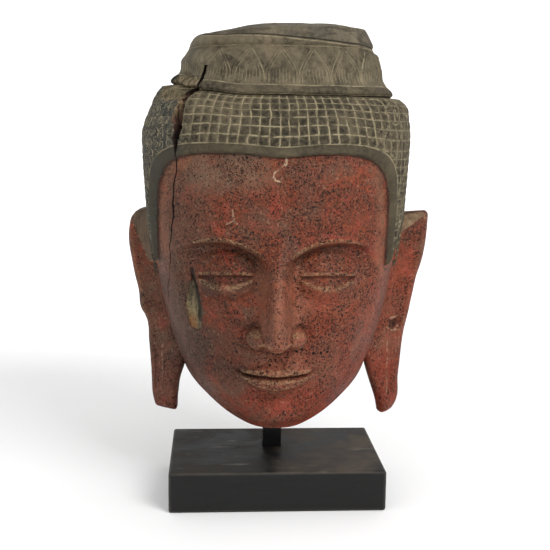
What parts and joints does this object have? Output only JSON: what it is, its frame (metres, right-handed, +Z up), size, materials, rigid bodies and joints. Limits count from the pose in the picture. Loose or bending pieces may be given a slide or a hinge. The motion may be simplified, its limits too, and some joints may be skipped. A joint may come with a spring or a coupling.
{
  "type": "wooden buddha head",
  "caption": "Carved and lacquered wooden Buddha head with a gridded coiffure, a cut-off petal crown, long slit ear lobes and a drying crack, on a square post in a black block.",
  "frame": {"origin": "centre of the base's underside", "axes": "+Z up; the face looks along -Y; +X to the viewer's right"},
  "size_m": [0.2922, 0.2616, 0.4448],
  "materials": {
    "lacquered_wood": "worn brick red lacquer over carved wood",
    "black_steel": "gloss black",
    "black_block": "satin black paint"
  },
  "bodies": {
    "root": {"head": "lacquered_wood", "post": "black_steel", "base": "black_block"}
  },
  "joints": []
}
